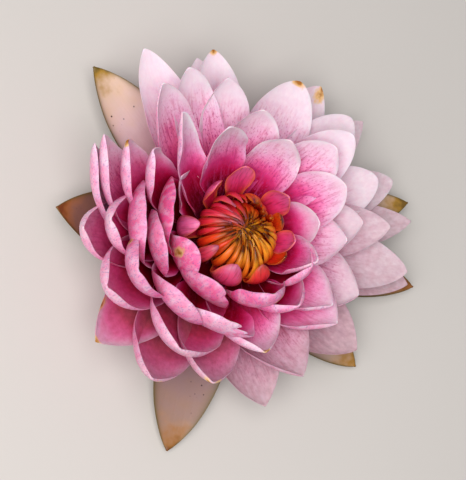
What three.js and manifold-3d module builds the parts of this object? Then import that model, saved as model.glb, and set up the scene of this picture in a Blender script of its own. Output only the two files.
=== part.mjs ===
// A hardy water lily bloom, cut off just below its calyx.
//
// Millimetres, +Z up along the flower's axis. The origin is the middle of the flat cut
// under the calyx, so the bloom rests on z = 0. Azimuths are degrees from +X towards +Y.
//
// Nodes: sepals (calyx with the cut stump of the stalk), petals (the ovary wall with every
// petal that grows from it), stamens (the ring with its strap-shaped stamens) and stigma
// (the cup with its rays). Each is one body, as it grew.

import * as THREE from 'three';
import { mergeVertices } from 'three/addons/utils/BufferGeometryUtils.js';
import Module from 'manifold-3d';

const wasm = await Module();
wasm.setup();

// ---- driving dimensions ------------------------------------------------------------

const GAP = 0.3;                    // clearance between nodes that meet
const STUMP_RADIUS = 5.5;           // cut end of the stalk
const STUMP_TOP = 3;
const CALYX_RADIUS = 11;
const CALYX_LOW = 4.5;
const CALYX_TOP = 8.2;
const OVARY_LOW = CALYX_TOP + GAP;
const OVARY_TOP = 20;
const OVARY_RADIUS = 13;
const RING_LOW = OVARY_TOP + GAP;
const RING_TOP = 22.6;
const RING_OUTER = 12.2;
const RING_INNER = 8.6;
const STAMEN_ROOT = RING_LOW + 1.2; // height of the stamens' roots, sunk into the ring
const STIGMA_RADIUS = RING_INNER - GAP;
const STIGMA_RIM = 23.6;
const STIGMA_DISH = 22;             // height of the hollow's floor
const STIGMA_WALL = 1.5;
const KNOB_RADIUS = 1.4;            // the axial knob in the middle of the stigma
const RAY_COUNT = 14;
const RAY_SIZE = [5.2, 0.6, 0.9];   // length, width, height of a stigma ray
const RAY_DISTANCE = 4.6;           // from the axis to a ray's middle
const RAY_SLOPE = 14;               // degrees that a ray climbs outwards
const TURN_SIDES = 18;              // sides of the turned bodies

const SEPAL_ROWS = 6;               // points along a sepal
const PETAL_ROWS = 5;               // points along a petal
const LOWEST_ROWS = 4;              // the lowest petals lie flattest and need fewer
const BLADE_COLUMNS = 5;            // points across a sepal or a petal
const MIDLINE_STEPS = 80;           // steps in which a blade's midline is walked
const TIP_CROWDING = 1.35;          // how far the rows of points gather towards the tip
const ROOT_THICKNESS = 1.5;
const TIP_THICKNESS = 0.9;
const MARGIN_THINNING = 0.25;       // share of the thickness lost at the margins
const TIP_HALF_WIDTH = 0.55;        // blunt end of a blade
const ROOT_FLARE = 8;               // extra lean at the root, degrees
const TIGHTEST_ROLL = 1.3;          // keeps a margin from rolling into its own thickness

// ---- petals and sepals -------------------------------------------------------------

// A whorl's blades share a form: where they root, and how the outline and section run.
// base: width at the root as a share of the full width; peak: where the blade is widest;
// point: how blunt the tip is; tight: how much the cupping gathers at the margins;
// hook: how late along the blade the tip's rise comes; rootCup: cupping at the root.
const SEPAL = { r: 9.5, z: 6.2, base: 0.55, peak: 0.42, point: 0.85, tight: 1, hook: 2, rootCup: 35 };
const LOWEST = { r: 9, z: 10, base: 0.22, peak: 0.48, point: 0.8, tight: 1, hook: 2, rootCup: 50 };
const OUTER = { r: 9, z: 11.6, base: 0.22, peak: 0.5, point: 0.72, tight: 0.9, hook: 2, rootCup: 60 };
const MIDDLE = { r: 9, z: 13.4, base: 0.24, peak: 0.55, point: 0.62, tight: 0.8, hook: 2, rootCup: 65 };
const INNER = { r: 9, z: 15.4, base: 0.24, peak: 0.55, point: 0.6, tight: 0.7, hook: 2, rootCup: 65 };
const CROWN = { r: 10.5, z: 15.2, base: 0.24, peak: 0.55, point: 0.55, tight: 0.6, hook: 1.5, rootCup: 70 };

// Each row is one blade: azimuth, lean above the horizontal, length, width,
// rise (degrees that the tip turns up), cup (degrees that a margin turns up), sway.
const SEPALS = [
  [11, -3, 71, 22, 8, 25, 0],
  [66, -5, 46, 26, 0, 30, 0],
  [130, 3, 68, 25, 6, 35, 0],
  [176, -4, 56, 27, 36, 45, -8],
  [255, -5, 71, 28, 2, 20, 0],
  [318, -5, 64, 24, 4, 30, 3],
  [348, -5, 74, 23, 5, 25, 0],
];
const LOWEST_PETALS = [
  [5, 1, 67, 20, 8, 28, 0],
  [38, -1, 65, 21, 5, 25, 0],
  [99, 2, 57, 22, 5, 25, 0],
  [176, 10, 75, 29, 84, 70, -38],
  [216, 7, 66, 29, 42, 50, 0],
  [273, 4, 57, 33, 28, 55, 15],
  [316, 0, 57, 32, 20, 45, 9],
  [347, -2, 68, 22, 6, 30, 0],
];
const OUTER_PETALS = [
  [2, 9, 54, 23, 30, 45, 0],
  [18, 1, 63, 22, 5, 30, 0],
  [56, 1, 60, 23, 10, 25, 0],
  [98, 10, 59, 24, 16, 32, 0],
  [124, 16, 68, 22, 16, 40, -4],
  [172, 13, 74, 27, 78, 70, -35],
  [184, 3, 72, 30, 90, 90, 0],
  [233, 1, 74, 32, 88, 80, 0],
  [250, 11, 67, 29, 76, 75, 0],
  [284, 10, 54, 35, 44, 70, 17],
  [349, 4, 63, 24, 12, 30, 0],
];
const MIDDLE_PETALS = [
  [3, 16, 44, 22, 50, 45, 0],
  [20, 9, 53, 23, 12, 32, 0],
  [43, 8, 56, 24, 16, 28, 0],
  [66, 10, 54, 26, 20, 28, 0],
  [101, 23, 53, 22, 34, 38, 0],
  [133, 26, 65, 21, 38, 65, -6],
  [168, 18, 67, 24, 73, 75, -28],
  [203, 6, 70, 33, 86, 85, 0],
  [235, 6, 63, 37, 94, 75, 0],
  [329, 8, 46, 31, 44, 70, 8],
];
const INNER_PETALS = [
  [40, 16, 51, 23, 38, 36, 0],
  [86, 28, 44, 23, 44, 35, 0],
  [118, 23, 60, 21, 30, 42, -3],
  [182, 7, 65, 30, 92, 90, 0],
  [265, 13, 49, 33, 74, 75, 16],
  [307, 10, 46, 34, 58, 75, 16],
  [315, 16, 41, 27, 54, 80, 6],
  [353, 20, 38, 22, 55, 50, 0],
];
const CROWN_PETALS = [
  [3, 34, 29, 20, 48, 42, 0],
  [22, 26, 40, 23, 42, 38, 0],
  [42, 24, 44, 23, 44, 36, 0],
  [66, 36, 38, 22, 42, 36, 0],
  [116, 47, 48, 21, 30, 40, 0],
  [152, 48, 61, 17, 10, 60, -32],
  [163, 23, 59, 21, 64, 70, -18],
  [154, 42, 39, 15, 30, 35, 0],
  [176, 23, 51, 30, 86, 40, 0],
  [181, 4, 60, 34, 112, 45, 0],
  [192, 15, 54, 26, 96, 40, 0],
  [202, 7, 65, 31, 94, 80, 0],
  [205, 18, 43, 20, 116, 25, 0],
  [223, 6, 57, 30, 112, 40, 0],
  [232, 18, 44, 23, 110, 30, 0],
  [247, 8, 54, 34, 112, 35, 0],
  [278, 22, 42, 27, 106, 85, 0],
  [296, 16, 41, 28, 92, 85, 0],
  [322, 24, 38, 25, 100, 85, 0],
  [329, 41, 35, 20, 52, 85, 0],
];

// ---- stamens -----------------------------------------------------------------------

// The outermost stamens of this double flower have broadened to small petals. A row is
// one of them, as for the petals.
const PETALOID = { r: 11.6, z: STAMEN_ROOT, base: 0.5, peak: 0.6, point: 0.5, tight: 0.5, hook: 1.6, rootCup: 40 };
const PETALOIDS = [
  [36, 58, 21, 11, 40, 45, 0],
  [70, 66, 17, 6, 90, 50, 0],
  [93, 47, 19, 11, 30, 30, 0],
  [136, 46, 23, 10, 60, 45, 0],
  [182, 10, 30, 9, 150, 60, 0],
  [212, 22, 25, 6, 150, 60, 0],
  [246, 18, 27, 12, 158, 50, 0],
  [283, 24, 25, 9, 150, 50, 0],
  [320, 40, 19, 7, 80, 50, 0],
  [342, 46, 19, 10, 60, 55, 0],
  [10, 58, 19, 7, 80, 50, 0],
];

// Rings of straps from the outside in. count: straps in the ring; r: root radius; width,
// cup: as for a petal. The flower is half closed, so the straps on its closed side bend
// far over the middle and those opposite stand up: far and near each hold lean, rise and
// length. spread: the largest random change of azimuth, lean and rise, in degrees.
const STAMEN = { base: 0.5, peak: 0.4, point: 0.6, tight: 0.5, hook: 1, rootCup: 30 };
const CLOSED_SIDE = 240;            // azimuth of the closed side
const STAMEN_RINGS = [
  { count: 14, r: 11.2, far: [60, 70, 17], near: [6, 200, 25], width: 4.6, cup: 50, spread: 8 },
  { count: 13, r: 10.4, far: [74, 75, 17], near: [24, 185, 21], width: 3.6, cup: 40, spread: 8 },
  { count: 10, r: 9.6, far: [80, 80, 16], near: [50, 140, 16], width: 2.6, cup: 30, spread: 8 },
];
const STAMEN_ROWS = 5;
const PETALOID_COLUMNS = 3;
const STRAP_COLUMNS = 2;            // a narrow strap is flat across
const STAMEN_SEED = 7;

const COLOURS = {
  sepals: 0x7d6a3c,
  petals: 0xe8a0c4,
  stamens: 0xd9601c,
  stigma: 0xc79a3a,
};

// ---- helpers -----------------------------------------------------------------------

const rad = THREE.MathUtils.degToRad;

// Fixed-seed generator, so the flower is the same on every run.
function seededRandom(seed) {
  let state = seed;
  return () => {
    state = (state * 1664525 + 1013904223) % 4294967296;
    return state / 4294967296;
  };
}

function toManifold(geometry) {
  const bare = geometry.clone();
  bare.deleteAttribute('normal');
  bare.deleteAttribute('uv');
  const merged = mergeVertices(bare, 1e-4);
  return new wasm.Manifold(new wasm.Mesh({
    numProp: 3,
    vertProperties: new Float32Array(merged.attributes.position.array),
    triVerts: new Uint32Array(merged.index.array),
  }));
}

function toGeometry(manifold) {
  const mesh = manifold.getMesh();
  const geometry = new THREE.BufferGeometry();
  geometry.setAttribute('position', new THREE.BufferAttribute(mesh.vertProperties, 3));
  geometry.setIndex(new THREE.BufferAttribute(mesh.triVerts, 1));
  geometry.computeVertexNormals();
  return geometry;
}

// Relative half width of a blade at s, from 0 at the root to 1 at the tip.
function outline(form, s) {
  if (s < form.peak) {
    const swell = Math.sin((s / form.peak) * Math.PI / 2) ** 2;
    return form.base + (1 - form.base) * swell;
  }
  const t = (s - form.peak) / (1 - form.peak);
  return (1 - t ** 2.2) ** form.point;
}

// Half of a cross-section: how far across and how far up a point lies at q, from 0 on the
// midline to 1 on the margin, on a half section of unit length that turns up by `turn`.
function sectionPoint(turn, tight, q) {
  const steps = 12;
  let across = 0;
  let up = 0;
  for (let i = 0; i < steps; i++) {
    const middle = q * (i + 0.5) / steps;
    const angle = turn * (middle + tight * middle ** 3) / (1 + tight);
    across += Math.cos(angle) * q / steps;
    up += Math.sin(angle) * q / steps;
  }
  const slope = turn * (q + tight * q ** 3) / (1 + tight);
  return { across, up, slope };
}

// One closed blade. Its midline starts at the root and turns up towards the tip; each row
// of points is a cupped section across it, given a thickness along the section's normal.
function blade(form, row, rows, columns) {
  const [azimuth, lean, length, width, rise, cup, sway] = row;
  const a = rad(azimuth);
  const out = new THREE.Vector3(Math.cos(a), Math.sin(a), 0);
  const side = new THREE.Vector3(-Math.sin(a), Math.cos(a), 0);
  const up = new THREE.Vector3(0, 0, 1);
  const midline = out.clone().multiplyScalar(form.r).addScaledVector(up, form.z);
  const stations = [];
  for (let i = 0; i < rows; i++) {
    stations.push(Math.round((1 - (1 - i / (rows - 1)) ** TIP_CROWDING) * MIDLINE_STEPS));
  }
  const positions = [];
  for (let step = 0; step <= MIDLINE_STEPS; step++) {
    const s = step / MIDLINE_STEPS;
    const climb = rad(lean + ROOT_FLARE * (1 - s) ** 2 + rise * s ** form.hook);
    const turn = rad(sway * s ** 1.5);
    const radial = out.clone().multiplyScalar(Math.cos(climb)).addScaledVector(up, Math.sin(climb));
    const normal = out.clone().multiplyScalar(-Math.sin(climb)).addScaledVector(up, Math.cos(climb));
    const tangent = radial.clone().multiplyScalar(Math.cos(turn)).addScaledVector(side, Math.sin(turn));
    const across = side.clone().multiplyScalar(Math.cos(turn)).addScaledVector(radial, -Math.sin(turn));
    if (stations.includes(step)) {
      const half = Math.max(TIP_HALF_WIDTH, width / 2 * outline(form, s));
      const thick = ROOT_THICKNESS + (TIP_THICKNESS - ROOT_THICKNESS) * s;
      const rootShare = (1 - s) ** 1.5;
      const wanted = rad(form.rootCup * rootShare + cup * (1 - rootShare) * (1 + 0.1 * s ** 3));
      const margin = Math.min(wanted, TIGHTEST_ROLL * half / thick);
      const upper = [];
      const lower = [];
      for (let j = 0; j < columns; j++) {
        const u = -1 + 2 * j / (columns - 1);
        const p = sectionPoint(margin, form.tight, Math.abs(u));
        const sign = Math.sign(u);
        const point = midline.clone()
          .addScaledVector(across, sign * p.across * half)
          .addScaledVector(normal, p.up * half);
        const outward = normal.clone().multiplyScalar(Math.cos(p.slope))
          .addScaledVector(across, -sign * Math.sin(p.slope));
        const offset = thick / 2 * (1 - MARGIN_THINNING * u * u);
        upper.push(point.clone().addScaledVector(outward, offset));
        lower.push(point.clone().addScaledVector(outward, -offset));
      }
      for (const point of [...upper, ...lower]) {
        positions.push(point.x, point.y, point.z);
      }
    }
    midline.addScaledVector(tangent, length / MIDLINE_STEPS);
  }
  const index = [];
  const ring = 2 * columns;
  const at = (i, j, below) => i * ring + (below ? columns : 0) + j;
  const quad = (p, q, r, s) => index.push(p, q, r, p, r, s);
  for (let i = 0; i < rows - 1; i++) {
    for (let j = 0; j < columns - 1; j++) {
      index.push(at(i, j), at(i + 1, j), at(i + 1, j + 1), at(i, j), at(i + 1, j + 1), at(i, j + 1));
      index.push(at(i, j, true), at(i + 1, j + 1, true), at(i + 1, j, true));
      index.push(at(i, j, true), at(i, j + 1, true), at(i + 1, j + 1, true));
    }
    const last = columns - 1;
    quad(at(i, 0), at(i, 0, true), at(i + 1, 0, true), at(i + 1, 0));
    quad(at(i, last), at(i + 1, last), at(i + 1, last, true), at(i, last, true));
  }
  for (let j = 0; j < columns - 1; j++) {
    const end = rows - 1;
    quad(at(0, j), at(0, j + 1), at(0, j + 1, true), at(0, j, true));
    quad(at(end, j), at(end, j, true), at(end, j + 1, true), at(end, j + 1));
  }
  const geometry = new THREE.BufferGeometry();
  geometry.setAttribute('position', new THREE.Float32BufferAttribute(positions, 3));
  geometry.setIndex(index);
  return geometry;
}

function turned(profile) {
  const points = profile.map(([r, z]) => new THREE.Vector2(r, z));
  const lathe = new THREE.LatheGeometry(points, TURN_SIDES);
  lathe.rotateX(Math.PI / 2);
  return lathe;
}

function fuse(geometries) {
  const joined = geometries.map(toManifold).reduce((whole, piece) => whole.add(piece));
  const bodies = joined.decompose().sort((p, q) => q.volume() - p.volume());
  return toGeometry(bodies[0]);
}

function makeMesh(name, geometry, roughness) {
  const material = new THREE.MeshStandardMaterial({
    color: COLOURS[name], roughness, metalness: 0,
  });
  const mesh = new THREE.Mesh(geometry, material);
  mesh.name = name;
  return mesh;
}

// ---- sub-parts ---------------------------------------------------------------------

function makeSepals() {
  const base = turned([
    [0, 0], [STUMP_RADIUS, 0], [STUMP_RADIUS, STUMP_TOP], [CALYX_RADIUS, CALYX_LOW],
    [CALYX_RADIUS, CALYX_TOP], [0, CALYX_TOP],
  ]);
  const blades = SEPALS.map((row) => blade(SEPAL, row, SEPAL_ROWS, BLADE_COLUMNS));
  return fuse([base, ...blades]);
}

function makePetals() {
  const ovary = turned([
    [0, OVARY_LOW], [OVARY_RADIUS, OVARY_LOW], [OVARY_RADIUS, OVARY_TOP], [0, OVARY_TOP],
  ]);
  const whorls = [
    [LOWEST, LOWEST_PETALS, LOWEST_ROWS], [OUTER, OUTER_PETALS, PETAL_ROWS],
    [MIDDLE, MIDDLE_PETALS, PETAL_ROWS], [INNER, INNER_PETALS, PETAL_ROWS],
    [CROWN, CROWN_PETALS, PETAL_ROWS],
  ];
  const blades = whorls.flatMap(([form, petals, rows]) => (
    petals.map((row) => blade(form, row, rows, BLADE_COLUMNS))
  ));
  return fuse([ovary, ...blades]);
}

function makeStamens() {
  const ring = turned([
    [RING_INNER, RING_LOW], [RING_OUTER, RING_LOW], [RING_OUTER, RING_TOP],
    [RING_INNER, RING_TOP], [RING_INNER, RING_LOW],
  ]);
  const random = seededRandom(STAMEN_SEED);
  const sway = (spread) => spread * (2 * random() - 1);
  const straps = PETALOIDS.map((row) => blade(PETALOID, row, STAMEN_ROWS, PETALOID_COLUMNS));
  STAMEN_RINGS.forEach((group, k) => {
    const form = { ...STAMEN, r: group.r, z: STAMEN_ROOT };
    for (let i = 0; i < group.count; i++) {
      const azimuth = (i + 0.5 * (k % 2)) * 360 / group.count + sway(group.spread);
      const near = 0.5 + 0.5 * Math.cos(rad(azimuth - CLOSED_SIDE));
      const bend = group.far.map((far, n) => far + (group.near[n] - far) * near);
      const lean = bend[0] + sway(group.spread);
      const length = bend[2] * (0.9 + 0.2 * random());
      const rise = bend[1] + sway(group.spread);
      const row = [azimuth, lean, length, group.width, rise, group.cup, 0];
      straps.push(blade(form, row, STAMEN_ROWS, STRAP_COLUMNS));
    }
  });
  return fuse([ring, ...straps]);
}

function makeStigma() {
  const dish = turned([
    [0, RING_LOW], [STIGMA_RADIUS - 1, RING_LOW], [STIGMA_RADIUS, STIGMA_DISH],
    [STIGMA_RADIUS, STIGMA_RIM], [STIGMA_RADIUS - STIGMA_WALL, STIGMA_RIM],
    [KNOB_RADIUS, STIGMA_DISH], [0, STIGMA_DISH],
  ]);
  const knob = new THREE.SphereGeometry(KNOB_RADIUS, 12, 8);
  knob.rotateX(Math.PI / 2);
  knob.translate(0, 0, STIGMA_DISH + KNOB_RADIUS / 2);
  const rays = [];
  for (let i = 0; i < RAY_COUNT; i++) {
    const ray = new THREE.BoxGeometry(...RAY_SIZE);
    ray.rotateY(-rad(RAY_SLOPE));
    ray.translate(RAY_DISTANCE, 0, STIGMA_DISH + STIGMA_WALL / 2);
    ray.rotateZ(i * 2 * Math.PI / RAY_COUNT);
    rays.push(ray);
  }
  return fuse([dish, knob, ...rays]);
}

const bloom = new THREE.Group();
bloom.add(makeMesh('sepals', makeSepals(), 0.55));
bloom.add(makeMesh('petals', makePetals(), 0.5));
bloom.add(makeMesh('stamens', makeStamens(), 0.5));
bloom.add(makeMesh('stigma', makeStigma(), 0.6));

export default bloom;
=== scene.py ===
# %% [markdown]
# # A water lily bloom
#
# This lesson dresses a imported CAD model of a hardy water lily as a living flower. The CAD
# holds the true sizes and the plain solid blades. Here every blade is made again with a
# finer surface, the small growth that CAD leaves out is added, and each skin gets its own
# material. Everything stays in the frame of the CAD: metres, +Z up along the flower's
# axis, the flat cut under the calyx at the origin.

# %% Load the frame
import math
import random

import bpy
import numpy as np
from mathutils import Matrix, Vector


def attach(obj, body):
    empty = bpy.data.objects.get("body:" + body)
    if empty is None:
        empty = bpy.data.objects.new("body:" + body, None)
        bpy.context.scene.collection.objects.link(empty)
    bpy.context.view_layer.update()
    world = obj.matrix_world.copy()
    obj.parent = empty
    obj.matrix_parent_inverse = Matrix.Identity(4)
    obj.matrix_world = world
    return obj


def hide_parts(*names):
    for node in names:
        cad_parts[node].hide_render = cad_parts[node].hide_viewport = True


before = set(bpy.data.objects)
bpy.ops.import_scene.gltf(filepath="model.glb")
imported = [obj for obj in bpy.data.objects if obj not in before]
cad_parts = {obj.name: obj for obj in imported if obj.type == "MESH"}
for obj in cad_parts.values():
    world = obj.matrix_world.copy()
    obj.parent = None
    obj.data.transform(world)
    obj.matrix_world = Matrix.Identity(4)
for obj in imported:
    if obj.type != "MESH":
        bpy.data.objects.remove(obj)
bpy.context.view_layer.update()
print("frame nodes:", sorted(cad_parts))

MM = 0.001

# %% [markdown]
# ## Camera
#
# The bloom is seen from above and from one side, with the camera tilted a little round its
# own axis. A camera could be aimed with a constraint, but three directions say it
# exactly: right, up and back. A long lens half a metre away keeps the near petals from
# growing larger than the far ones.

# %% Camera
ELEVATION = math.radians(67)
AZIMUTH = math.radians(200)
ROLL = math.radians(20)
CAMERA_DISTANCE = 500 * MM
CAMERA_RIGHT = 7.9 * MM
CAMERA_UP = -0.2 * MM
LENS_MM = 100

back = Vector((
    math.cos(ELEVATION) * math.cos(AZIMUTH),
    math.cos(ELEVATION) * math.sin(AZIMUTH),
    math.sin(ELEVATION),
))
level_up = Vector((
    -math.sin(ELEVATION) * math.cos(AZIMUTH),
    -math.sin(ELEVATION) * math.sin(AZIMUTH),
    math.cos(ELEVATION),
))
level_side = Vector((-math.sin(AZIMUTH), math.cos(AZIMUTH), 0))
camera_x = level_side * math.sin(ROLL) + level_up * math.cos(ROLL)
camera_y = level_up * math.sin(ROLL) - level_side * math.cos(ROLL)

camera_data = bpy.data.cameras.new("camera")
camera_data.lens = LENS_MM
camera_data.sensor_width = 36
camera_data.clip_start = 0.01
camera_data.clip_end = 20
camera = bpy.data.objects.new("camera", camera_data)
bpy.context.collection.objects.link(camera)
place = back * CAMERA_DISTANCE + camera_x * CAMERA_RIGHT + camera_y * CAMERA_UP
turn = Matrix((camera_x, camera_y, back)).transposed()
camera.matrix_world = Matrix.Translation(place) @ turn.to_4x4()
bpy.context.scene.camera = camera
print("camera at", [round(v, 3) for v in place])

# %% [markdown]
# ## Colour and node helpers
#
# Colours are written as sRGB hex, as a painter would note them, and one function turns
# them to the linear values that the shader counts in. Shader trees are built with one
# small function that adds a node, sets its values and links its inputs.

# %% Helpers for materials
def linear(code):
    """Linear colour of an sRGB hex code such as 'e8a0c4'."""
    values = [int(code[i:i + 2], 16) / 255 for i in (0, 2, 4)]
    return [v / 12.92 if v <= 0.04045 else ((v + 0.055) / 1.055) ** 2.4 for v in values] + [1.0]


def add(tree, kind, inputs=None, **settings):
    """Adds a node, sets its properties, and sets or links its inputs by name or number."""
    node = tree.nodes.new("ShaderNode" + kind)
    stops = settings.pop("stops", None)
    for name, value in settings.items():
        setattr(node, name, value)
    if stops:
        ramp = node.color_ramp
        while len(ramp.elements) < len(stops):
            ramp.elements.new(0.5)
        for element, (position, code) in zip(ramp.elements, stops):
            element.position = position
            element.color = linear(code)
    for name, value in (inputs or {}).items():
        if isinstance(value, bpy.types.NodeSocket):
            tree.links.new(value, node.inputs[name])
        else:
            node.inputs[name].default_value = value
    return node


def new_material(name, roughness, ior, subsurface, glow):
    """A principled material with its constants on its own sockets, and its node tree."""
    material = bpy.data.materials.new(name)
    material.use_nodes = True
    tree = material.node_tree
    shader = tree.nodes["Principled BSDF"]
    shader.inputs["Roughness"].default_value = roughness
    shader.inputs["IOR"].default_value = ior
    shader.inputs["Subsurface Weight"].default_value = subsurface
    shader.inputs["Subsurface Radius"].default_value = glow
    shader.inputs["Subsurface Scale"].default_value = 1.2 * MM
    return material, tree, shader


# %% [markdown]
# ## Floor and light
#
# A pale matt floor and one broad soft light overhead, like a bright overcast sky, suit
# thin petals: hard light would burn out the white tips and hide the veins. A weak fill
# comes from the sky colour of the world.

# %% Floor and light
FLOOR_SIZE = 3.0

floor_mesh = bpy.data.meshes.new("floor")
half_floor = FLOOR_SIZE / 2
floor_mesh.from_pydata(
    [(-half_floor, -half_floor, 0), (half_floor, -half_floor, 0),
     (half_floor, half_floor, 0), (-half_floor, half_floor, 0)],
    [], [(0, 1, 2, 3)])
floor = bpy.data.objects.new("floor", floor_mesh)
floor.location.z = -0.1 * MM
bpy.context.collection.objects.link(floor)
floor_paint, tree, shader = new_material("matt_pale_board", 0.9, 1.45, 0.0, (1, 1, 1))
shader.inputs["Base Color"].default_value = linear("cfcdc8")
floor_mesh.materials.append(floor_paint)


def area_light(name, size, energy, position, code):
    """A square area light that faces the bloom."""
    data = bpy.data.lights.new(name, "AREA")
    data.size = size
    data.energy = energy
    data.color = linear(code)[:3]
    light = bpy.data.objects.new(name, data)
    light.location = position
    light.rotation_euler = (Vector((0, 0, 0.03)) - Vector(position)).to_track_quat("-Z", "Y").to_euler()
    bpy.context.collection.objects.link(light)


area_light("soft_sky", 0.55, 6.8, (-0.3, -0.12, 0.76), "fffaf8")
area_light("low_fill", 0.5, 0.8, (-0.6, -0.35, 0.4), "fff6fb")

world = bpy.data.worlds.new("studio")
world.use_nodes = True
world.node_tree.nodes["Background"].inputs["Color"].default_value = linear("f0eef2")
world.node_tree.nodes["Background"].inputs["Strength"].default_value = 0.28
bpy.context.scene.world = world
bpy.context.scene.view_settings.view_transform = "Standard"
print("stage ready")

# %% [markdown]
# ## The rule of a blade
#
# A petal, a sepal and a strap-shaped stamen are all blades. A blade starts at its root,
# runs outwards along a midline that climbs towards the tip, and is cupped across. It
# could be sculpted, or cut from a bent plane with modifiers, but a formula lets fifty of
# them differ by a few plain numbers each and gives every point two useful addresses: how
# far along the blade it lies and how far across. The materials use the same addresses.
#
# Each row of numbers below is one blade: azimuth, lean above the horizontal, length, width, rise of the tip,
# cupping of the margins, sway, and last a tone value. On a petal it says how far the deep colour of the
# throat runs out along it. That colour is partly the petal's own pigment and partly painted shade, so the
# value runs high on the petals on the camera's side, whose inner faces lie in shade. On a sepal it says how
# dark the inside is, partly its own colour and partly painted shade.

# %% Forms and rows of petals and sepals
SEPAL = dict(r=9.5, z=6.2, base=0.55, peak=0.42, point=0.85, tight=1, hook=2, root_cup=35)
LOWEST = dict(r=9, z=10, base=0.22, peak=0.48, point=0.8, tight=1, hook=2, root_cup=50)
OUTER = dict(r=9, z=11.6, base=0.22, peak=0.5, point=0.72, tight=0.9, hook=2, root_cup=60)
MIDDLE = dict(r=9, z=13.4, base=0.24, peak=0.55, point=0.62, tight=0.8, hook=2, root_cup=65)
INNER = dict(r=9, z=15.4, base=0.24, peak=0.55, point=0.6, tight=0.7, hook=2, root_cup=65)
CROWN = dict(r=10.5, z=15.2, base=0.24, peak=0.55, point=0.55, tight=0.6, hook=1.5, root_cup=70)

SEPALS = [
    (11, -3, 71, 22, 8, 25, 0, 0.2),
    (66, -5, 46, 26, 0, 30, 0, 0.3),
    (130, 3, 68, 25, 6, 35, 0, 0.0),
    (176, -4, 56, 27, 36, 45, -8, 0.9),
    (255, -5, 71, 28, 2, 20, 0, 0.7),
    (318, -5, 64, 24, 4, 30, 3, 0.4),
    (348, -5, 74, 23, 5, 25, 0, 0.8),
]
LOWEST_PETALS = [
    (5, 1, 67, 20, 8, 28, 0, 0.0),
    (38, -1, 65, 21, 5, 25, 0, 0.0),
    (99, 2, 57, 22, 5, 25, 0, 0.0),
    (176, 10, 75, 29, 84, 70, -38, 0.45),
    (216, 7, 66, 29, 42, 50, 0, 1.2),
    (273, 4, 57, 33, 28, 55, 15, 0.4),
    (316, 0, 57, 32, 20, 45, 9, 0.3),
    (347, -2, 68, 22, 6, 30, 0, 0.1),
]
OUTER_PETALS = [
    (2, 9, 54, 23, 30, 45, 0, 0.1),
    (18, 1, 63, 22, 5, 30, 0, 0.0),
    (56, 1, 60, 23, 10, 25, 0, 0.0),
    (98, 10, 59, 24, 16, 32, 0, 0.1),
    (124, 16, 68, 22, 16, 40, -4, 0.1),
    (172, 13, 74, 27, 78, 70, -35, 0.6),
    (184, 3, 72, 30, 90, 90, 0, 0.8),
    (233, 1, 74, 32, 88, 80, 0, 0.9),
    (250, 11, 67, 29, 76, 75, 0, 0.8),
    (284, 10, 54, 35, 44, 70, 17, 0.4),
    (349, 4, 63, 24, 12, 30, 0, 0.1),
]
MIDDLE_PETALS = [
    (3, 16, 44, 22, 50, 45, 0, 0.2),
    (20, 9, 53, 23, 12, 32, 0, 0.1),
    (43, 8, 56, 24, 16, 28, 0, 0.1),
    (66, 10, 54, 26, 20, 28, 0, 0.2),
    (101, 23, 53, 22, 34, 38, 0, 0.2),
    (133, 26, 65, 21, 38, 65, -6, 0.5),
    (168, 18, 67, 24, 73, 75, -28, 0.8),
    (203, 6, 70, 33, 86, 85, 0, 0.9),
    (235, 6, 63, 37, 94, 75, 0, 0.9),
    (329, 8, 46, 31, 44, 70, 8, 0.4),
]
INNER_PETALS = [
    (40, 16, 51, 23, 38, 36, 0, 0.2),
    (86, 28, 44, 23, 44, 35, 0, 0.45),
    (118, 23, 60, 21, 30, 42, -3, 0.3),
    (182, 7, 65, 30, 92, 90, 0, 0.9),
    (265, 13, 49, 33, 74, 75, 16, 0.7),
    (307, 10, 46, 34, 58, 75, 16, 0.8),
    (315, 16, 41, 27, 54, 80, 6, 0.8),
    (353, 20, 38, 22, 55, 50, 0, 0.5),
]
CROWN_PETALS = [
    (3, 34, 29, 20, 48, 42, 0, 0.85),
    (22, 26, 40, 23, 42, 38, 0, 0.6),
    (42, 24, 44, 23, 44, 36, 0, 0.5),
    (66, 36, 38, 22, 42, 36, 0, 0.55),
    (116, 47, 48, 21, 30, 40, 0, 0.65),
    (152, 48, 61, 17, 10, 60, -32, 0.8),
    (163, 23, 59, 21, 64, 70, -18, 0.9),
    (154, 42, 39, 15, 30, 35, 0, 1.0),
    (176, 23, 51, 30, 86, 40, 0, 1.35),
    (181, 4, 60, 34, 112, 45, 0, 1.1),
    (192, 15, 54, 26, 96, 40, 0, 1.1),
    (202, 7, 65, 31, 94, 80, 0, 1.0),
    (205, 18, 43, 20, 116, 25, 0, 1.2),
    (223, 6, 57, 30, 112, 40, 0, 1.0),
    (232, 18, 44, 23, 110, 30, 0, 1.15),
    (247, 8, 54, 34, 112, 35, 0, 0.9),
    (278, 22, 42, 27, 106, 85, 0, 1.1),
    (296, 16, 41, 28, 92, 85, 0, 1.0),
    (322, 24, 38, 25, 100, 85, 0, 1.0),
    (329, 41, 35, 20, 52, 85, 0, 0.8),
]
print("petals:", sum(map(len, (LOWEST_PETALS, OUTER_PETALS, MIDDLE_PETALS, INNER_PETALS, CROWN_PETALS))))

# %% [markdown]
# The blade's grid is worked out for both faces at once with arrays. Living petals are thinner at
# the margin than along the middle, and their margins are never quite even, so a slow
# seeded wave is added that grows towards the margin. Notches take a bite out of the
# outline where a petal has been nibbled or torn.

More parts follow.
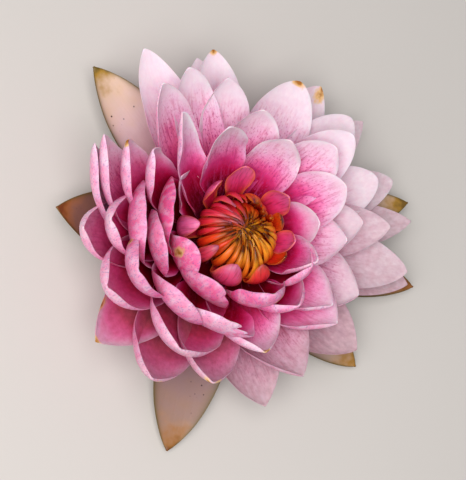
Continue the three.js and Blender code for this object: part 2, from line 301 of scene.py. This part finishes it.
# %% The blade
MIDLINE_STEPS = 80
TIP_CROWDING = 1.35
MARGIN_CROWDING = 2.1
ROOT_FLARE = 8
TIGHTEST_ROLL = 1.3
TIP_HALF_WIDTH = 0.35
CAD_ROOT_THICKNESS = 1.5        # the rolled margins keep to the CAD's thickness, so that they match it
CAD_TIP_THICKNESS = 0.9
MARGIN_THINNING = 0.85
SECTION_STEPS = 40
FACE_SHIFT = 60                 # these two set faces and blades apart in the noise, so that no
BLADE_SHIFT = 40.0              # two of them share a pattern
# painted shade: the low petals towards this side are tinted grey-mauve, standing in for the dark water and
# shadow they lay in
SUBMERGED_SHADE_SIDE = 315


def outline(form, s):
    """Relative half width of a blade at s, from 0 at the root to 1 at the tip."""
    swell = np.sin(np.clip(s / form["peak"], 0, 1) * np.pi / 2) ** 2
    t = np.clip((s - form["peak"]) / (1 - form["peak"]), 0, 1)
    return np.where(
        s < form["peak"],
        form["base"] + (1 - form["base"]) * swell,
        (1 - t ** 2.2) ** form["point"])


def blade_grid(form, row, rows, columns, thickness, draw, wave=0.5, notches=()):
    """Points of a blade's two faces, shape (2, rows, columns, 3), and its s and u."""
    azimuth, lean, length, width, rise, cup, sway = row[:7]
    a = math.radians(azimuth)
    out = np.array([math.cos(a), math.sin(a), 0.0])
    side = np.array([-math.sin(a), math.cos(a), 0.0])
    up = np.array([0.0, 0.0, 1.0])

    fine = np.arange(MIDLINE_STEPS + 1) / MIDLINE_STEPS

    def directions(s):
        climb = np.radians(lean + ROOT_FLARE * (1 - s) ** 2 + rise * s ** form["hook"])[:, None]
        swing = np.radians(sway * s ** 1.5)[:, None]
        radial = np.cos(climb) * out + np.sin(climb) * up
        normal = -np.sin(climb) * out + np.cos(climb) * up
        tangent = np.cos(swing) * radial + np.sin(swing) * side
        across = np.cos(swing) * side - np.sin(swing) * radial
        return tangent, across, normal

    tangent = directions(fine)[0]
    walk = np.vstack([np.zeros(3), np.cumsum(tangent[:-1], axis=0)]) * length / MIDLINE_STEPS
    walk += out * form["r"] + up * form["z"]

    s = 1 - (1 - np.linspace(0, 1, rows)) ** TIP_CROWDING
    even = np.linspace(-1, 1, columns)
    u = np.sign(even) * (1 - (1 - np.abs(even)) ** MARGIN_CROWDING)
    midline = np.stack([np.interp(s, fine, walk[:, k]) for k in range(3)], axis=1)
    _, across, normal = directions(s)

    half = np.maximum(TIP_HALF_WIDTH, width / 2 * outline(form, s))
    sides = np.stack([half, half], axis=1)
    for where, which, depth, spread in notches:
        sides[:, which] *= 1 - depth * np.exp(-((s - where) / spread) ** 2)
    half_at = np.where(u[None, :] < 0, sides[:, :1], sides[:, 1:])

    thick = thickness[0] + (thickness[1] - thickness[0]) * s
    root_share = (1 - s) ** 1.5
    cup_here = np.radians(form["root_cup"] * root_share + cup * (1 - root_share) * (1 + 0.1 * s ** 3))
    cad_thick = CAD_ROOT_THICKNESS + (CAD_TIP_THICKNESS - CAD_ROOT_THICKNESS) * s
    margin = np.minimum(cup_here, TIGHTEST_ROLL * half / cad_thick)

    tight = form["tight"]
    q = np.linspace(0, 1, SECTION_STEPS + 1)
    slope = margin[:, None] * (q + tight * q ** 3) / (1 + tight)

    def summed(values):
        parts = (values[:, 1:] + values[:, :-1]) / 2 / SECTION_STEPS
        return np.concatenate([np.zeros((rows, 1)), np.cumsum(parts, axis=1)], axis=1)

    reach = summed(np.cos(slope))
    climb_up = summed(np.sin(slope))
    at = np.abs(u) * SECTION_STEPS
    low = np.minimum(at.astype(int), SECTION_STEPS - 1)
    part = at - low
    reach_u, climb_u, slope_u = (
        table[:, low] * (1 - part) + table[:, low + 1] * part for table in (reach, climb_up, slope))
    sign = np.sign(u)

    phase = [draw.uniform(0, 2 * math.pi) for _ in range(4)]
    ripple = (np.sin(s[:, None] * 11 + phase[0] + 1.3 * sign * phase[1])
              + 0.5 * np.sin(s[:, None] * 23 + phase[2] + 2.1 * sign * phase[3]))
    ripple = ripple * wave * np.abs(u) ** 3 * np.sin(np.pi * np.clip(s, 0, 1))[:, None] ** 0.5

    x = sign * reach_u * half_at
    h = climb_u * half_at + ripple
    centre = midline[:, None] + across[:, None] * x[..., None] + normal[:, None] * h[..., None]
    outward = (normal[:, None] * np.cos(slope_u)[..., None]
               - across[:, None] * (sign * np.sin(slope_u))[..., None])
    offset = thick[:, None] / 2 * (1 - MARGIN_THINNING * np.abs(u) ** 2.5)
    upper = centre + outward * offset[..., None]
    lower = centre - outward * offset[..., None]
    return np.stack([upper, lower]), s, u, half


def blade_faces(rows, columns, first):
    """Quads of a closed blade whose points start at `first`."""
    face = rows * columns
    i, j = np.meshgrid(np.arange(rows - 1), np.arange(columns - 1), indexing="ij")
    p = (i * columns + j).ravel() + first
    top = np.stack([p, p + columns, p + columns + 1, p + 1], axis=1)
    under = top[:, ::-1] + face
    i = np.arange(rows - 1) * columns + first
    left = np.stack([i, i + face, i + columns + face, i + columns], axis=1)
    r = i + columns - 1
    right = np.stack([r, r + columns, r + columns + face, r + face], axis=1)
    j = np.arange(columns - 1) + first
    root = np.stack([j, j + 1, j + 1 + face, j + face], axis=1)
    t = j + (rows - 1) * columns
    tip = np.stack([t, t + face, t + 1 + face, t + 1], axis=1)
    return np.concatenate([top, under, left, right, root, tip])


def blades_object(name, jobs, rows, columns, thickness, seed, wave=0.5, water_shade=0.0):
    """One mesh object of many blades, with their addresses stored for the material."""
    draw = random.Random(seed)

    # how much grey painted shade a blade gets, most on the submerged side
    def water_shade_of(row):
        return water_shade * (0.5 + 0.5 * math.cos(math.radians(row[0] - SUBMERGED_SHADE_SIDE)))

    points, faces, data = [], [], []
    first = 0
    for index, (form, row, notches, scars) in enumerate(jobs):
        grid, s, u, half = blade_grid(form, row, rows, columns, thickness, draw, wave, notches)
        points.append(grid.reshape(-1, 3))
        faces.append(blade_faces(rows, columns, first))
        first += 2 * rows * columns
        along = np.repeat(s, columns)
        across = np.tile(u, rows)
        width_mm = (half[:, None] * u[None, :]).ravel()
        scar = np.zeros_like(along)
        for where, which, wide, long in scars:
            aside = width_mm - which * np.interp(where, s, half)
            scar += np.exp(-(aside / wide) ** 2 - ((along - where) * row[2] / long) ** 2)
        for outer in (0, 1):
            data.append(np.stack([
                along, across, np.full_like(along, outer), np.full_like(along, row[7]),
                np.full_like(along, water_shade_of(row)), scar,
                width_mm + FACE_SHIFT * outer, along * row[2],
                np.full_like(along, BLADE_SHIFT * index + seed),
            ], axis=1))
    points = np.concatenate(points) * MM
    faces = np.concatenate(faces)
    data = np.concatenate(data)
    mesh = bpy.data.meshes.new(name)
    mesh.from_pydata(points.tolist(), [], faces.tolist())
    for number, label in enumerate(("along", "across", "outer", "tone", "water_shade", "scar")):
        layer = mesh.attributes.new(label, "FLOAT", "POINT")
        layer.data.foreach_set("value", data[:, number].astype(np.float32))
    skin = mesh.attributes.new("skin", "FLOAT_VECTOR", "POINT")
    skin.data.foreach_set("vector", data[:, 6:9].astype(np.float32).ravel())
    mesh.shade_smooth()
    blades = bpy.data.objects.new(name, mesh)
    bpy.context.collection.objects.link(blades)
    print(name, len(jobs), "blades,", 2 * len(faces), "triangles")
    return blades


# %% [markdown]
# ## Petal skin
#
# A petal is a thin, moist, living tissue. Its upper skin is coloured by water-soluble pigment that is
# strongest in the throat and fades towards the tip, so one ramp along the blade gives most of the colour.
# That ramp also carries painted shade, which makes it darker deep in the throat and on petals whose inner
# faces lie in shade. It also carries painted light, which makes it paler at their margins. The underside is
# paler and flecked with violet where the pigment gathers in single cells. Cells scatter light, so the petal
# glows a little, and the waxy surface has a satin gloss. The refractive index of wet plant tissue is about
# 1.4.

# %% Petal material
def blade_addresses(tree):
    """The addresses stored with every blade, and a random number that each blade keeps."""
    found = {label: add(tree, "Attribute", attribute_name=label).outputs["Fac"]
             for label in ("along", "across", "outer", "tone", "water_shade", "scar")}
    found["skin"] = add(tree, "Attribute", attribute_name="skin").outputs["Vector"]
    index = add(tree, "SeparateXYZ", {0: found["skin"]}).outputs["Z"]
    found["own"] = add(tree, "TexWhiteNoise", {"W": index}, noise_dimensions="1D").outputs["Value"]
    return found


def sum_of(tree, *terms):
    """Adds products: each term is (a, b), where either may be a number or a socket."""
    total = None
    for a, b in terms:
        if total is None:
            total = add(tree, "Math", {0: a, 1: b}, operation="MULTIPLY").outputs[0]
        else:
            total = add(tree, "Math", {0: a, 1: b, 2: total}, operation="MULTIPLY_ADD").outputs[0]
    return total


def mixed(tree, share, first, second, **settings):
    """Colour between two colours, which may be sockets or hex codes."""
    first, second = (linear(c) if isinstance(c, str) else c for c in (first, second))
    return add(tree, "MixRGB", {"Fac": share, "Color1": first, "Color2": second}, **settings).outputs["Color"]


def near_margin(tree, across, power):
    """0 along the middle of a blade and 1 at its margins, the nearer to them the higher the power."""
    size = add(tree, "Math", {0: across}, operation="ABSOLUTE").outputs[0]
    return add(tree, "Math", {0: size, 1: power}, operation="POWER").outputs[0]


def ramp(tree, place, *stops):
    """Colour looked up along a ramp of (position, hex code) stops."""
    return add(tree, "ValToRGB", {0: place}, stops=stops).outputs["Color"]


def relief(tree, shader, height, strength, depth_mm):
    """A fine relief that the shader's normal follows."""
    bump = add(tree, "Bump", {"Height": height, "Strength": strength, "Distance": depth_mm * MM})
    tree.links.new(bump.outputs["Normal"], shader.inputs["Normal"])


def between(tree, value, low, high):
    """0 below `low`, 1 above `high`."""
    return add(tree, "MapRange", {"Value": value, "From Min": low, "From Max": high}).outputs["Result"]


def noise(tree, skin, size_mm, stretch=1.0, detail=2.0):
    """Noise on the skin with features of about `size_mm`, drawn out along the blade by `stretch`."""
    if stretch != 1.0:
        drawn_out = (1.0, 1 / stretch, 1.0)
        skin = add(tree, "VectorMath", {0: skin, 1: drawn_out}, operation="MULTIPLY").outputs["Vector"]
    return add(tree, "TexNoise", {"Vector": skin, "Scale": 1 / size_mm, "Detail": detail}).outputs["Fac"]


petal_skin, tree, shader = new_material("moist_petal_skin", 0.55, 1.4, 0.35, (1.0, 0.35, 0.45))
shader.inputs["Specular IOR Level"].default_value = 0.12
at = blade_addresses(tree)
blotch = noise(tree, at["skin"], 5.0)
mottle = noise(tree, at["skin"], 1.6, 1.5)
edge = near_margin(tree, at["across"], 3.0)

# the upper face, from the throat outwards: pigment deepest in the throat, with painted shade deep in the
# throat and on petals whose inner faces lie in shade
reach = sum_of(tree, (at["along"], at["tone"]))
# painted light: the margins of deep-toned petals are made paler, as where light falls on a rim
lit_margin = sum_of(tree, (edge, at["tone"]))
tone_and_shade_place = sum_of(tree, (at["along"], 0.85), (reach, 0.6), (at["tone"], -0.95), (lit_margin, 0.4),
                     (blotch, 0.14), (at["own"], 0.08), (0.19, 1.0))
inner = ramp(
    tree, tone_and_shade_place,
    (0.0, "700014"), (0.12, "960228"), (0.26, "bc1450"), (0.36, "d43a80"),
    (0.46, "e66aa8"), (0.58, "efa0cc"), (0.72, "efc2de"), (0.88, "f1d8e8"), (1.0, "f4e6f0"))
vein = noise(tree, at["skin"], 1.0, 10.0, 1.5)
pale = sum_of(tree, (between(tree, tone_and_shade_place, 0.95, 0.5), between(tree, at["tone"], 1.0, 0.4)))
inner = mixed(tree, sum_of(tree, (between(tree, vein, 0.5, 0.68), pale)), inner, "c03a78")
dash = between(tree, noise(tree, at["skin"], 0.5, 2.5, 1.0), 0.56, 0.68)
inner = mixed(tree, sum_of(tree, (dash, pale)), inner, "b83480")

# the underside, paler, with lilac clouds and violet flecks
tinge = between(tree, at["tone"], 0.85, 1.35)
outer_place = sum_of(tree, (at["along"], 0.9), (tinge, -0.42), (blotch, 0.4), (-0.14, 1.0))
under = ramp(
    tree, outer_place,
    (0.0, "b80c48"), (0.2, "e03078"), (0.4, "f0508f"), (0.6, "f578ae"), (0.8, "faa2c8"), (1.0, "fdd2e2"))
cloud = between(tree, noise(tree, at["skin"], 2.2, 2.2, 3.0), 0.45, 0.62)
under = mixed(tree, sum_of(tree, (cloud, 0.42)), under, "f2d8ee")
fleck = between(tree, noise(tree, at["skin"], 0.6, 1.6, 1.0), 0.56, 0.68)
under = mixed(tree, sum_of(tree, (fleck, 0.42)), under, "8e72b2")

colour = mixed(tree, at["outer"], inner, under)
# painted shade: a grey-mauve tint on the low petals of the submerged side, standing in for the dark water and
# shadow they lay in
colour = mixed(tree, sum_of(tree, (at["water_shade"], 0.7)), colour, "a88088")
colour = mixed(tree, 0.35, colour, mottle, blend_type="OVERLAY")
scar = sum_of(tree, (at["scar"], 1.0), (mottle, 0.8), (-0.4, 1.0))
colour = mixed(tree, between(tree, scar, 0.3, 0.6), colour, "e8c088")
colour = mixed(tree, between(tree, scar, 0.65, 0.95), colour, "a8702c")
tree.links.new(colour, shader.inputs["Base Color"])
relief(tree, shader, vein, 0.3, 0.15)
print("petal skin:", len(tree.nodes), "nodes")

# %% [markdown]
# ## Petals
#
# Five whorls, each a piece of its own so that no piece grows too heavy. They all replace
# the one CAD node that carries every petal. The finer grid keeps the CAD blade's rule, so
# each petal follows the solid that stands for it, apart from its waves and its torn tips.
# A scar is a place where a petal turned brown: how far along, how far across, and its size
# across and along in millimetres.

# %% Petals
PETAL_ROWS = 41
PETAL_COLUMNS = 23
PETAL_THICKNESS = (1.2, 0.6)    # at the root and at the tip
PETAL_SEED = 11

SCARS = {
    ("crown", 205): [(0.8, -0.25, 1.8, 4.0)],
    ("crown", 202): [(0.76, -0.8, 1.6, 3.0)],
    ("crown", 278): [(0.84, 0.5, 2.2, 1.6)],
    ("middle", 66): [(0.99, 0.3, 3.0, 2.0)],
    ("middle", 168): [(1.0, 0.0, 2.0, 3.0)],
    ("outer", 56): [(0.97, -0.6, 2.5, 5.0)],
    ("outer", 98): [(1.0, 0.0, 2.2, 2.2)],
    ("outer", 233): [(0.93, 0.4, 2.4, 2.0)],
    ("outer", 250): [(0.97, 0.2, 3.4, 1.6)],
    ("inner", 265): [(0.98, 0.3, 2.2, 1.8)],
    ("lowest", 216): [(0.84, -1.0, 1.6, 7.0), (1.0, 0.0, 3.0, 1.6)],
}
NOTCHES = {
    ("crown", 247): [(0.93, 1, 0.5, 0.02), (0.86, 1, 0.25, 0.02)],
    ("crown", 232): [(0.9, 1, 0.2, 0.03)],
}
# per whorl: form, rows, how strongly its submerged side gets the grey painted shade, and the wave of the
# margins
whorls = {
    "lowest": (LOWEST, LOWEST_PETALS, 1.0, 0.6),
    "outer": (OUTER, OUTER_PETALS, 0.8, 0.6),
    "middle": (MIDDLE, MIDDLE_PETALS, 0.4, 0.6),
    "inner": (INNER, INNER_PETALS, 0.1, 0.7),
    "crown": (CROWN, CROWN_PETALS, 0.0, 0.9),
}
petal_pieces = []
for number, (label, (form, rows, water_shade, wave)) in enumerate(whorls.items()):
    jobs = [(form, row, NOTCHES.get((label, row[0]), ()), SCARS.get((label, row[0]), ())) for row in rows]
    piece = blades_object(
        "petals_" + label, jobs, PETAL_ROWS, PETAL_COLUMNS, PETAL_THICKNESS, PETAL_SEED + number, wave, water_shade)
    piece.data.materials.append(petal_skin)
    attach(piece, "root")
    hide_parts("petals")
    petal_pieces.append(piece)

# %% [markdown]
# ## Sepals
#
# The sepals cupped the bud. Outside they are leathery and brown-green, where they faced the sun and the
# water; inside they are petal-like, from wine red at the root to mauve and cream, with an ochre tip and a few
# dark specks. On some sepals the inside is a dark wine-brown, partly their own colour and partly painted
# shade.

# %% Sepal material and sepals
sepal_skin, tree, shader = new_material("leathery_sepal_skin", 0.45, 1.42, 0.12, (1.0, 0.5, 0.3))
at = blade_addresses(tree)
place = sum_of(tree, (noise(tree, at["skin"], 6.0, detail=3.0), 0.3), (at["along"], 1.0), (-0.15, 1.0))
# painted shade: this dark inside ramp is the sepal's own wine-brown, deepened to stand in for shade
dark_and_shaded = ramp(
    tree, place,
    (0.0, "420e1a"), (0.35, "54202a"), (0.6, "663c38"), (0.8, "744a3c"), (0.92, "965c34"), (1.0, "7c4020"))
light = ramp(
    tree, place,
    (0.0, "8c3c50"), (0.3, "c79aa4"), (0.6, "dcc4c4"), (0.85, "d8bfa6"), (0.95, "a8842e"), (1.0, "6e5a1c"))
inside = mixed(tree, at["tone"], light, dark_and_shaded)
outside = ramp(tree, place, (0.0, "5a2a24"), (0.3, "4f4a26"), (0.7, "5b5a2c"), (1.0, "8a6a34"))
speck = add(tree, "TexVoronoi", {"Vector": at["skin"], "Scale": 1 / 2.6}).outputs["Distance"]
speck_patch = between(tree, noise(tree, at["skin"], 9.0), 0.52, 0.62)
inside = mixed(tree, sum_of(tree, (between(tree, speck, 0.16, 0.1), speck_patch)), inside, "3a1a1c")
inside = mixed(tree, near_margin(tree, at["across"], 8.0), inside, "5c5220")
tree.links.new(mixed(tree, at["outer"], inside, outside), shader.inputs["Base Color"])
relief(tree, shader, noise(tree, at["skin"], 1.4, 10.0, 1.0), 0.3, 0.2)

SEPAL_THICKNESS = (1.6, 1.0)
SEPAL_SEED = 3
SEPAL_WAVE = 0.3

sepal_jobs = [(SEPAL, row, (), ()) for row in SEPALS]
sepals = blades_object(
    "sepal_blades", sepal_jobs, PETAL_ROWS, PETAL_COLUMNS, SEPAL_THICKNESS, SEPAL_SEED, SEPAL_WAVE)
sepals.data.materials.append(sepal_skin)
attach(sepals, "root")
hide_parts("sepals")

# %% [markdown]
# ## Receptacle and cut stalk
#
# Under the sepals the flower narrows to its stalk, which was cut. A water lily's stalk is
# soft and holds air canals that carry air down to the roots, so the cut shows four wide
# holes and a ring of small ones. They could be painted on, but then the stalk would look
# flat from below, so they are cut out with a boolean whose result is kept as a plain mesh.

# %% Receptacle
def turned(name, profile, sides=72):
    """A closed surface turned round Z from (radius, height) pairs in millimetres."""
    points, faces = [], []
    for r, z in profile:
        for k in range(sides):
            t = 2 * math.pi * k / sides
            points.append((r * math.cos(t) * MM, r * math.sin(t) * MM, z * MM))
    for i in range(len(profile) - 1):
        for k in range(sides):
            n = (k + 1) % sides
            faces.append((i * sides + k, i * sides + n, (i + 1) * sides + n, (i + 1) * sides + k))
    faces.append(tuple(reversed(range(sides))))
    top = (len(profile) - 1) * sides
    faces.append(tuple(top + k for k in range(sides)))
    mesh = bpy.data.meshes.new(name)
    mesh.from_pydata(points, [], faces)
    mesh.shade_smooth()
    body = bpy.data.objects.new(name, mesh)
    bpy.context.collection.objects.link(body)
    return body


stalk_skin, tree, shader = new_material("stalk_and_receptacle_skin", 0.5, 1.42, 0.1, (1.0, 0.5, 0.3))
where = add(tree, "TexCoord").outputs["Object"]
mottle = add(tree, "TexNoise", {"Vector": where, "Scale": 1 / (3 * MM), "Detail": 3.0}).outputs["Fac"]
colour = ramp(tree, mottle, (0.3, "4c4a22"), (0.55, "6b5a30"), (0.75, "7a4030"))
tree.links.new(colour, shader.inputs["Base Color"])
relief(tree, shader, mottle, 0.3, 0.2)

receptacle = turned("receptacle", [
    (5.2, 0), (5.5, 0.3), (5.5, 2.4), (6.2, 3.4), (8.4, 4.2), (10.4, 4.7), (11, 5.4), (11, 7.6), (10.4, 8.2)])

# how many canals, how far from the middle and how wide, in millimetres
CANAL_RINGS = [(4, 2.1, 1.0), (10, 4.1, 0.4), (1, 0.0, 0.5)]
CANAL_SIDES = 20
CANAL_BELOW = -1.0
CANAL_TOP = 2.2


def around(radius, count):
    """Points spaced evenly round a circle in the plane."""
    turns = [2 * math.pi * k / count for k in range(count)]
    return [(radius * math.cos(t), radius * math.sin(t)) for t in turns]


canals = [(x, y, radius) for count, distance, radius in CANAL_RINGS for x, y in around(distance, count)]
points, faces = [], []
for x, y, radius in canals:
    first = len(points)
    for z in (CANAL_BELOW, CANAL_TOP):
        points += [((x + dx) * MM, (y + dy) * MM, z * MM) for dx, dy in around(radius, CANAL_SIDES)]
    faces.append([first + k for k in reversed(range(CANAL_SIDES))])
    faces.append([first + CANAL_SIDES + k for k in range(CANAL_SIDES)])
    for k in range(CANAL_SIDES):
        n = (k + 1) % CANAL_SIDES
        faces.append((first + k, first + n, first + CANAL_SIDES + n, first + CANAL_SIDES + k))
cutter_mesh = bpy.data.meshes.new("canals")
cutter_mesh.from_pydata(points, [], faces)
cutter = bpy.data.objects.new("canals", cutter_mesh)
bpy.context.collection.objects.link(cutter)
cut = receptacle.modifiers.new("air_canals", "BOOLEAN")
cut.operation = "DIFFERENCE"
cut.solver = "EXACT"
cut.object = cutter
bored = bpy.data.meshes.new_from_object(receptacle.evaluated_get(bpy.context.evaluated_depsgraph_get()))
receptacle.modifiers.clear()
receptacle.data = bored
bpy.data.objects.remove(cutter)
receptacle.data.materials.clear()
receptacle.data.materials.append(stalk_skin)
print("canals in the stalk:", len(canals))
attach(receptacle, "root")
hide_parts("sepals")

ovary = turned("ovary_wall", [(10.4, 8.5), (11, 8.9), (12.4, 17), (12.6, 19.4), (12.2, 20)])
ovary.data.materials.append(petal_skin)
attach(ovary, "root")
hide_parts("petals")

# %% [markdown]
# ## Stamens
#
# A double water lily turns its outer stamens into small petals and keeps narrow ones
# inside, each bent over the middle. They are red at the foot and turn orange and golden
# towards the tip. The wide ones are written row by row, like petals. The narrow ones are
# too many for that: rings place them, with seeded changes, and in the three rings that
# the CAD also has, a slimmer strap stands beside each.

# %% Stamens
STAMEN = dict(base=0.5, peak=0.35, point=0.9, tight=0.5, hook=1, root_cup=30)
PETALOID = dict(r=11.6, z=21.5, base=0.5, peak=0.6, point=0.5, tight=0.5, hook=1.6, root_cup=40)
STAMEN_ROOT_Z = 21.5
CLOSED_SIDE = 240
GOLDEN_SIDE = 310
PETALOIDS = [
    (36, 58, 21, 11, 40, 45, 0, 0.1),
    (70, 66, 17, 6, 90, 50, 0, 0.6),
    (93, 47, 19, 11, 30, 30, 0, 0.0),
    (136, 46, 23, 10, 60, 45, 0, 0.0),
    (182, 10, 30, 9, 150, 60, 0, 0.0),
    (212, 22, 25, 6, 150, 60, 0, 0.3),
    (246, 18, 27, 12, 158, 50, 0, 0.2),
    (283, 24, 25, 9, 150, 50, 0, 0.4),
    (320, 40, 19, 7, 80, 50, 0, 0.5),
    (342, 46, 19, 10, 60, 55, 0, 0.0),
    (10, 58, 19, 7, 80, 50, 0, 0.6),
]
STAMEN_RINGS = [
    dict(count=14, r=11.2, far=(60, 70, 17), near=(6, 200, 25), width=4.6, cup=50, spread=8),
    dict(count=13, r=10.4, far=(74, 75, 17), near=(24, 185, 21), width=3.6, cup=40, spread=8),
    dict(count=10, r=9.6, far=(80, 80, 16), near=(50, 140, 16), width=2.6, cup=30, spread=8),
    dict(count=30, r=9, far=(86, 85, 15), near=(70, 120, 14), width=1.2, cup=20, spread=12),
    dict(count=24, r=8.8, far=(92, 60, 13), near=(80, 95, 12), width=0.9, cup=20, spread=16),
]
CAD_RINGS = 3           # the first rings of the list also stand in the CAD
SLIM_SEED = 21
STRAP_SHARE = 0.72      # width of a strap as a share of the CAD strap it replaces

state = 7


def same_draw():
    """The fixed-seed generator that placed the CAD's stamens, so that these match."""
    global state
    state = (state * 1664525 + 1013904223) % 4294967296
    return state / 4294967296


extra = random.Random(SLIM_SEED)
stamen_jobs = [(PETALOID, row, (), ()) for row in PETALOIDS]
for k, ring in enumerate(STAMEN_RINGS):
    form = dict(STAMEN, r=ring["r"], z=STAMEN_ROOT_Z)
    for i in range(ring["count"]):
        azimuth = (i + 0.5 * (k % 2)) * 360 / ring["count"] + ring["spread"] * (2 * same_draw() - 1)
        near = 0.5 + 0.5 * math.cos(math.radians(azimuth - CLOSED_SIDE))
        gold = 0.6 + 0.3 * math.cos(math.radians(azimuth - GOLDEN_SIDE)) + 0.05 * k
        lean, rise, length = (f + (n - f) * near for f, n in zip(ring["far"], ring["near"]))
        lean += ring["spread"] * (2 * same_draw() - 1)
        length *= 0.9 + 0.2 * same_draw()
        rise += ring["spread"] * (2 * same_draw() - 1)
        width = ring["width"] * STRAP_SHARE
        stamen_jobs.append((form, (azimuth, lean, length, width, rise, ring["cup"], 0, gold), (), ()))
        if k < CAD_RINGS:
            beside = azimuth + (0.5 + 0.2 * (extra.random() - 0.5)) * 360 / ring["count"]
            slim = (
                beside, lean + 14 * (extra.random() - 0.3), length * (0.85 + 0.15 * extra.random()),
                width * 0.75, rise + 16 * (extra.random() - 0.7), ring["cup"],
                10 * (extra.random() - 0.5), gold)
            stamen_jobs.append((form, slim, (), ()))

stamen_skin, tree, shader = new_material("stamen_skin", 0.38, 1.42, 0.2, (1.0, 0.35, 0.15))
at = blade_addresses(tree)
streak = noise(tree, at["skin"], 0.7, 8.0, 1.5)
cloud = noise(tree, at["skin"], 2.2, 1.5)
place = sum_of(tree, (at["along"], 1.0), (cloud, 0.3), (at["own"], 0.2), (-0.25, 1.0))
petaloid = ramp(
    tree, place,
    (0.0, "8a0018"), (0.3, "c41848"), (0.6, "dc4080"), (0.85, "e2609c"), (1.0, "e878a8"))
red = ramp(
    tree, place,
    (0.0, "6a0006"), (0.25, "b0060c"), (0.5, "dc1418"), (0.75, "e63018"), (0.9, "b04a18"), (0.99, "3c1408"))
gold = ramp(
    tree, place,
    (0.0, "980806"), (0.2, "d82c0c"), (0.45, "f46a10"), (0.72, "fca42c"), (0.9, "c8881c"), (0.99, "50280a"))
body = mixed(tree, between(tree, at["tone"], 0.1, 0.45), petaloid, red)
body = mixed(tree, between(tree, at["tone"], 0.45, 0.9), body, gold)
body = mixed(tree, sum_of(tree, (between(tree, streak, 0.5, 0.7), 0.45)), body, "7a1408")
body = mixed(tree, sum_of(tree, (near_margin(tree, at["across"], 5.0), 0.7)), body, "f07a2c")
tree.links.new(body, shader.inputs["Base Color"])
relief(tree, shader, streak, 0.5, 0.15)

STAMEN_GRID = (25, 11)  # rows and columns of points, fewer than on a petal
STAMEN_SEED = 5
STAMEN_WAVE = 0.25

stamens = blades_object("stamen_straps", stamen_jobs, *STAMEN_GRID, PETAL_THICKNESS, STAMEN_SEED, STAMEN_WAVE)
stamens.data.materials.append(stamen_skin)
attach(stamens, "root")
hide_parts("stamens")

# %% [markdown]
# ## Stigma
#
# In the middle lies a shallow cup round a small knob, where pollen lands. The stamens bend
# over it, so a turned cup is enough here, and the rays of the CAD's cup are left out.

# %% Stigma
stigma = turned("stigma_cup", [
    (7.3, 20.3), (8.3, 22), (8.3, 23.4), (7.6, 23.8), (6.8, 23.4), (1.6, 22.2), (0.9, 23.4), (0.2, 23.8)])
stigma.data.materials.append(stamen_skin)
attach(stigma, "root")
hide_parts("stigma")
